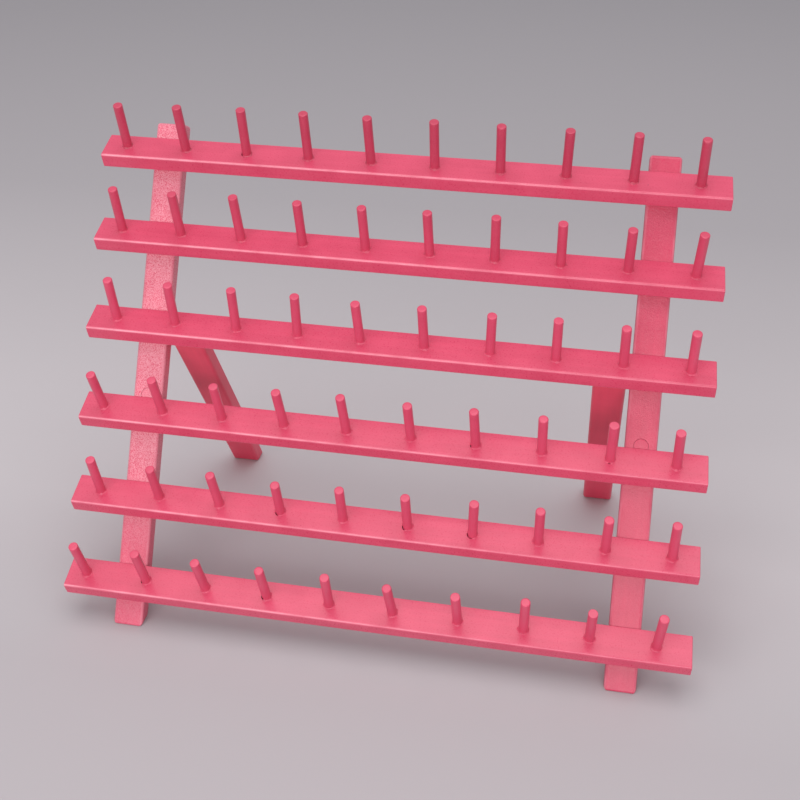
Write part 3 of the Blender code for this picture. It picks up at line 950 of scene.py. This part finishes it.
class RACK_OT_pegs(bpy.types.Operator):
    """Build the sixty pegs, a row of ten for each slat."""
    bl_idname = "thread_rack.pegs"
    bl_label = "Pegs"

    def execute(self, context):
        for row in range(ROWS):
            finish = finish_of(f"peg_{min(row + 1, 3)}")
            finish_piece(peg_row(row), f"pegs_{row + 1}", slat_frame(row), BODY,
                         [f"peg_slat_{row + 1}"], finish, "Z", row * 0.3)
        return {"FINISHED"}


class RACK_OT_uprights(bpy.types.Operator):
    """Build the two leaning uprights and the plugs in their fronts."""
    bl_idname = "thread_rack.uprights"
    bl_label = "Uprights"

    def execute(self, context):
        s = sizes()
        for side, sign in SIDES.items():
            x = sign * s.upright_x
            finish_piece(upright(), f"upright_{side}_strip", in_frame(x, upright_depth(), 0), BODY,
                         [f"upright_{side}"], finish_of(f"upright_{side}"), "Z", 1 + sign,
                         strip_edge_highlight)
            place = in_frame(x, s.clearance, plug_height()) @ turned_to((0, 1, 0))
            finish_piece(front_plug(), f"plug_{side}", place, BODY,
                         [f"front_plug_{side}"], finish_of(f"upright_{side}"), "Z", 3 + sign)
        return {"FINISHED"}


class RACK_OT_legs(bpy.types.Operator):
    """Build the two rear legs, each on the body that turns on its bolt."""
    bl_idname = "thread_rack.legs"
    bl_label = "Rear legs"

    def execute(self, context):
        s = sizes()
        for side in SIDES:
            turn = Matrix.Rotation(s.opening - s.lean, 4, "X")
            place = Matrix.Translation(joint_place(side)) @ turn
            finish_piece(leg(), f"leg_{side}_strip", place, f"rear_leg_{side}",
                         [f"leg_{side}"], finish_of("leg"), "Z", 5 + SIDES[side])
        return {"FINISHED"}


class RACK_OT_pivots(bpy.types.Operator):
    """Build the bolts that the legs turn on, with spacers, washers and nuts."""
    bl_idname = "thread_rack.pivots"
    bl_label = "Leg bolts"

    def execute(self, context):
        s, h = sizes(), hardware()
        seat = -s.upright_width / 2 - s.clearance
        spacer = s.upright_width / 2 + s.clearance
        under = spacer + h.spacer + s.clearance + s.leg_width + s.clearance
        nut = under + h.nut_washer + s.clearance
        end = nut + h.nut_height + h.bolt_end
        for side, sign in SIDES.items():
            start = in_frame(sign * s.upright_x, upright_depth(), pivot_height())
            for name, mesh, at in (
                    ("pivot_bolt", bolt(end - seat), seat),
                    ("leg_spacer", washer(h.washer_diameter, h.spacer), spacer),
                    ("nut_washer", washer(h.washer_diameter, h.nut_washer), under),
                    ("pivot_nut", hex_nut(), nut)):
                place = start @ turned_to((-sign, 0, 0), (-sign * at, 0, 0))
                finish_piece(mesh, f"{name}_{side}_steel", place, BODY, [f"{name}_{side}"],
                             finish_of("steel"))
        return {"FINISHED"}


class RACK_OT_screws(bpy.types.Operator):
    """Build the twelve countersunk screws that hold the slats from behind."""
    bl_idname = "thread_rack.screws"
    bl_label = "Slat screws"

    def execute(self, context):
        s, h = sizes(), hardware()
        depth = s.clearance + s.strip_depth - h.screw_sink
        for side, sign in SIDES.items():
            for row in range(ROWS):
                name = f"slat_screw_{side}_{row + 1}"
                turn = Matrix.Rotation(math.pi * hash_share(row, sign, 5), 4, "Z")
                seat = in_frame(sign * s.upright_x, depth, screw_height(row))
                finish_piece(screw(), f"{name}_steel", seat @ turned_to((0, 1, 0)) @ turn, BODY,
                             [name], finish_of("steel"))
        return {"FINISHED"}


def area_light(name, place, target, width, height, power):
    """A rectangular white lamp that faces its target."""
    data = bpy.data.lights.new(name, "AREA")
    data.shape = "RECTANGLE"
    data.size, data.size_y, data.energy = width, height, power
    lamp = bpy.data.objects.new(name, data)
    lamp.location = place
    lamp.rotation_euler = (Vector(target) - Vector(place)).to_track_quat("-Z", "Y").to_euler()
    bpy.context.scene.collection.objects.link(lamp)


class RACK_OT_stage(bpy.types.Operator):
    """Set up the pale floor, the soft studio light and the camera."""
    bl_idname = "thread_rack.stage"
    bl_label = "Stage"

    def execute(self, context):
        finish = context.scene.rack_finish
        mesh = bmesh.new()
        bmesh.ops.create_grid(mesh, x_segments=8, y_segments=8, size=FLOOR_HALF)
        data = bpy.data.meshes.new("floor")
        mesh.to_mesh(data)
        mesh.free()
        floor = bpy.data.objects.new("floor", data)
        context.scene.collection.objects.link(floor)
        material, nodes, links, shader = new_material("studio_floor", 0.85)
        shader.inputs["Specular IOR Level"].default_value = 0.2
        place = node(nodes, "ShaderNodeSeparateXYZ")
        links.new(nodes.new("ShaderNodeTexCoord").outputs["Object"], place.inputs["Vector"])
        # The floor darkens towards the back as painted shade, and a painted pool of light lies
        # under the rack.
        back = place.outputs["Y"]
        under = join(nodes, links, "MULTIPLY", span(nodes, links, back, *FLOOR_LIGHT_RISE),
                     span(nodes, links, back, *FLOOR_LIGHT_FALL, 1.0, 0.0))
        colour = mixed(nodes, links, span(nodes, links, back, *FLOOR_FALLOFF),
                       finish.floor_near, finish.floor_far_shade)
        colour = mixed(nodes, links, under, colour, finish.floor_under_light)
        links.new(colour, shader.inputs["Base Color"])
        data.materials.append(material)

        world = bpy.data.worlds.new("studio")
        world.use_nodes = True
        background = world.node_tree.nodes["Background"]
        background.inputs["Color"].default_value = WORLD_COLOUR
        background.inputs["Strength"].default_value = WORLD_STRENGTH
        context.scene.world = world
        for lamp in LAMPS:
            area_light(*lamp)

        camera = bpy.data.objects.new("camera", bpy.data.cameras.new("camera"))
        camera.location = CAMERA_PLACE
        camera.rotation_euler = Euler([math.radians(a) for a in CAMERA_TURN])
        camera.data.lens = CAMERA_LENS
        camera.data.sensor_width = CAMERA_SENSOR
        camera.data.shift_y = CAMERA_SHIFT
        camera.data.clip_start = CAMERA_NEAR
        context.scene.collection.objects.link(camera)
        context.scene.camera = camera
        context.scene.view_settings.view_transform = "Standard"
        return {"FINISHED"}


class RACK_PT_panel(bpy.types.Panel):
    """Lists the steps that build the rack."""
    bl_label = "Thread Rack"
    bl_idname = "RACK_PT_panel"
    bl_space_type = "VIEW_3D"
    bl_region_type = "UI"
    bl_category = "Thread Rack"

    def draw(self, context):
        for operator in OPERATORS:
            self.layout.operator(operator.bl_idname)
        for group in GROUPS:
            box = self.layout.box()
            for name in group.__annotations__:
                box.prop(getattr(context.scene, GROUPS[group]), name)


OPERATORS = (RACK_OT_slats, RACK_OT_pegs, RACK_OT_uprights, RACK_OT_legs, RACK_OT_pivots,
             RACK_OT_screws, RACK_OT_stage)
GROUPS = {RackSizes: "rack_sizes", PegSizes: "peg_sizes", HardwareSizes: "hardware_sizes",
          RackFinish: "rack_finish"}


def register():
    for made in (*GROUPS, *OPERATORS, RACK_PT_panel):
        bpy.utils.register_class(made)
    for group, name in GROUPS.items():
        setattr(bpy.types.Scene, name, PointerProperty(type=group))


def unregister():
    for name in GROUPS.values():
        delattr(bpy.types.Scene, name)
    for made in reversed((*GROUPS, *OPERATORS, RACK_PT_panel)):
        bpy.utils.unregister_class(made)


def main():
    register()
    for operator in OPERATORS:
        group, name = operator.bl_idname.split(".")
        getattr(getattr(bpy.ops, group), name)()


if __name__ == "__main__":
    main()
